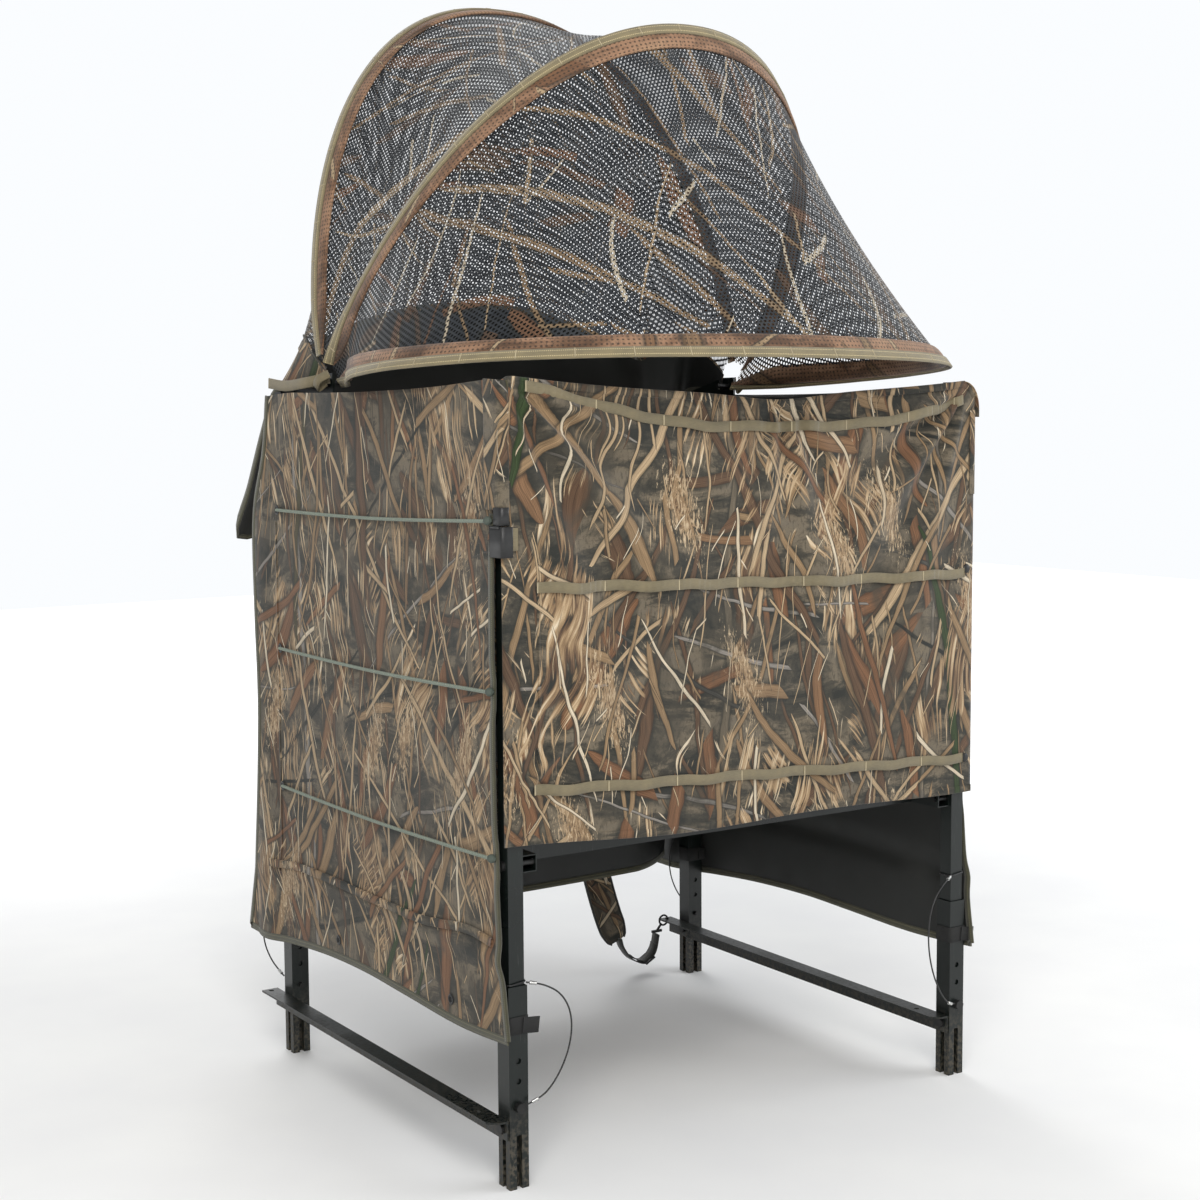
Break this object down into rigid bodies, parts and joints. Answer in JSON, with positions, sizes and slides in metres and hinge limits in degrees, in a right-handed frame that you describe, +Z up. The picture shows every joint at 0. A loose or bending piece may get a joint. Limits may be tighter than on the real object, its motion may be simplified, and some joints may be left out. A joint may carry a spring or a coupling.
{
  "type": "one-person chair hunting blind",
  "caption": "Free-standing seated blind: folding square-tube frame on telescoping legs with a printed cloth skirt and a hinged net hood.",
  "frame": {"origin": "middle of the four feet's footprint, on the ground", "axes": "+Z up, the front panel faces -Y, +X to the sitter's left"},
  "size_m": [1.0102, 1.107, 1.845],
  "materials": {
    "dark_green_paint": "glossy paint over square steel tube",
    "black_steel": "black oxide bolts and pins",
    "black_plastic": "moulded nylon",
    "printed_cloth": "coated woven cloth printed with reeds and leaves",
    "padded_cloth": "padded woven cloth with dark binding",
    "netting": "knitted net printed like the cloth",
    "webbing": "ribbed olive-tan webbing",
    "elastic_cord": "braided grey-green elastic cord",
    "wire_rope": "black coated wire"
  },
  "bodies": {
    "front_frame": {"front_post_left": "dark_green_paint", "front_post_right": "dark_green_paint", "front_post_caps": "black_plastic", "front_cross_tube": "dark_green_paint", "front_pivot_bolts": "black_steel", "front_panel": "printed_cloth", "brush_straps": "webbing", "panel_clips": "black_plastic"},
    "seat_link": {"seat_rail_left": "dark_green_paint", "seat_rail_right": "dark_green_paint", "seat_cross_tubes": "dark_green_paint", "seat_pad": "padded_cloth"},
    "rear_frame": {"rear_post_left": "dark_green_paint", "rear_post_right": "dark_green_paint", "rear_post_caps": "black_plastic", "rear_cross_tubes": "dark_green_paint", "rear_pivot_bolts": "black_steel", "backrest_pad": "padded_cloth", "back_panel": "printed_cloth", "hood_bracket_left": "dark_green_paint", "hood_bracket_right": "dark_green_paint", "hood_pivot_bolts": "black_steel", "side_skirt_left": "printed_cloth", "side_skirt_right": "printed_cloth", "backpack_strap_left": "padded_cloth", "backpack_strap_right": "padded_cloth", "strap_webbing": "webbing", "snap_hook_left": "black_plastic", "bungee_top_left": "elastic_cord", "bungee_top_right": "elastic_cord", "bungee_middle_left": "elastic_cord", "bungee_middle_right": "elastic_cord", "bungee_bottom_left": "elastic_cord", "bungee_bottom_right": "elastic_cord"},
    "top_rail_left": {"top_rail_left": "dark_green_paint"},
    "top_rail_right": {"top_rail_right": "dark_green_paint"},
    "foot_rail_left": {"foot_rail_left": "dark_green_paint", "foot_rail_bolts_left": "black_steel"},
    "foot_rail_right": {"foot_rail_right": "dark_green_paint", "foot_rail_bolts_right": "black_steel", "snap_hook_right": "black_plastic"},
    "hood_rear": {"hood_hoop_rear": "webbing", "hood_rear_cloth": "printed_cloth"},
    "hood_middle": {"hood_hoop_middle": "webbing", "hood_net_top": "netting"},
    "hood_front": {"hood_hoop_front": "webbing", "hood_net_front": "netting"},
    "front_sleeve_left": {"front_sleeve_left": "dark_green_paint", "lanyard_front_left": "wire_rope"},
    "lock_pin_front_left": {"lock_pin_front_left": "black_steel"},
    "front_sleeve_right": {"front_sleeve_right": "dark_green_paint", "lanyard_front_right": "wire_rope"},
    "lock_pin_front_right": {"lock_pin_front_right": "black_steel"},
    "rear_sleeve_left": {"rear_sleeve_left": "dark_green_paint", "lanyard_rear_left": "wire_rope"},
    "lock_pin_rear_left": {"lock_pin_rear_left": "black_steel"},
    "rear_sleeve_right": {"rear_sleeve_right": "dark_green_paint", "lanyard_rear_right": "wire_rope"},
    "lock_pin_rear_right": {"lock_pin_rear_right": "black_steel"}
  },
  "joints": [
    {"name": "frame_fold", "type": "hinge", "parent": "front_frame", "child": "seat_link", "pos_m": [0, -0.371, 0.475], "axis": [1, 0, 0], "range_deg": [0, 80], "deforming": ["side_skirt_left", "side_skirt_right", "bungee_top_left", "bungee_top_right", "bungee_middle_left", "bungee_middle_right", "bungee_bottom_left", "bungee_bottom_right", "strap_webbing"]},
    {"name": "rear_frame_pivot", "type": "hinge", "parent": "seat_link", "child": "rear_frame", "pos_m": [0, 0.371, 0.475], "axis": [1, 0, 0], "range_deg": [-80, 0], "deforming": ["side_skirt_left", "side_skirt_right", "bungee_top_left", "bungee_top_right", "bungee_middle_left", "bungee_middle_right", "bungee_bottom_left", "bungee_bottom_right", "strap_webbing"]},
    {"name": "top_rail_pivot_left", "type": "hinge", "parent": "front_frame", "child": "top_rail_left", "pos_m": [-0.433, -0.371, 1.136], "axis": [1, 0, 0], "range_deg": [0, 80]},
    {"name": "foot_rail_pivot_left", "type": "hinge", "parent": "rear_sleeve_left", "child": "foot_rail_left", "pos_m": [-0.433, 0.371, 0.089], "axis": [1, 0, 0], "range_deg": [0, 80]},
    {"name": "leg_length_left", "type": "slide", "parent": "front_frame", "child": "front_sleeve_left", "axis": [0, 0, -1], "range_m": [0, 0.08]},
    {"name": "rear_leg_length_left", "type": "slide", "parent": "rear_frame", "child": "rear_sleeve_left", "axis": [0, 0, -1], "range_m": [0, 0.08]},
    {"name": "pin_pull_front_left", "type": "slide", "parent": "front_sleeve_left", "child": "lock_pin_front_left", "axis": [0, -1, 0], "range_m": [0, 0.045], "deforming": ["lanyard_front_left"]},
    {"name": "pin_pull_rear_left", "type": "slide", "parent": "rear_sleeve_left", "child": "lock_pin_rear_left", "axis": [0, 1, 0], "range_m": [0, 0.045], "deforming": ["lanyard_rear_left"]},
    {"name": "top_rail_pivot_right", "type": "hinge", "parent": "front_frame", "child": "top_rail_right", "pos_m": [0.433, -0.371, 1.136], "axis": [1, 0, 0], "range_deg": [0, 80]},
    {"name": "foot_rail_pivot_right", "type": "hinge", "parent": "rear_sleeve_right", "child": "foot_rail_right", "pos_m": [0.433, 0.371, 0.089], "axis": [1, 0, 0], "range_deg": [0, 80]},
    {"name": "leg_length_right", "type": "slide", "parent": "front_frame", "child": "front_sleeve_right", "axis": [0, 0, -1], "range_m": [0, 0.08]},
    {"name": "rear_leg_length_right", "type": "slide", "parent": "rear_frame", "child": "rear_sleeve_right", "axis": [0, 0, -1], "range_m": [0, 0.08]},
    {"name": "pin_pull_front_right", "type": "slide", "parent": "front_sleeve_right", "child": "lock_pin_front_right", "axis": [0, -1, 0], "range_m": [0, 0.045], "deforming": ["lanyard_front_right"]},
    {"name": "pin_pull_rear_right", "type": "slide", "parent": "rear_sleeve_right", "child": "lock_pin_rear_right", "axis": [0, 1, 0], "range_m": [0, 0.045], "deforming": ["lanyard_rear_right"]},
    {"name": "hood_open", "type": "hinge", "parent": "hood_middle", "child": "hood_front", "pos_m": [0, 0.224, 1.175], "axis": [-1, 0, 0], "range_deg": [0, 38], "deforming": ["hood_net_front"]},
    {"name": "hood_middle_pivot", "type": "hinge", "parent": "hood_rear", "child": "hood_middle", "pos_m": [0, 0.224, 1.175], "axis": [-1, 0, 0], "range_deg": [0, 44], "deforming": ["hood_net_top", "hood_net_front"]},
    {"name": "hood_rear_pivot", "type": "hinge", "parent": "rear_frame", "child": "hood_rear", "pos_m": [0, 0.224, 1.175], "axis": [-1, 0, 0], "range_deg": [0, 10], "deforming": ["hood_rear_cloth", "hood_net_top"]}
  ],
  "couplings": [
    {"joint": "rear_frame_pivot", "follows": "frame_fold", "ratio": -1},
    {"joint": "top_rail_pivot_left", "follows": "frame_fold", "ratio": 1},
    {"joint": "foot_rail_pivot_left", "follows": "frame_fold", "ratio": 1},
    {"joint": "rear_leg_length_left", "follows": "leg_length_left", "ratio": 1},
    {"joint": "top_rail_pivot_right", "follows": "frame_fold", "ratio": 1},
    {"joint": "foot_rail_pivot_right", "follows": "frame_fold", "ratio": 1},
    {"joint": "rear_leg_length_right", "follows": "leg_length_right", "ratio": 1},
    {"joint": "hood_middle_pivot", "follows": "hood_open", "ratio": 1.1},
    {"joint": "hood_rear_pivot", "follows": "hood_open", "ratio": 0.25}
  ]
}
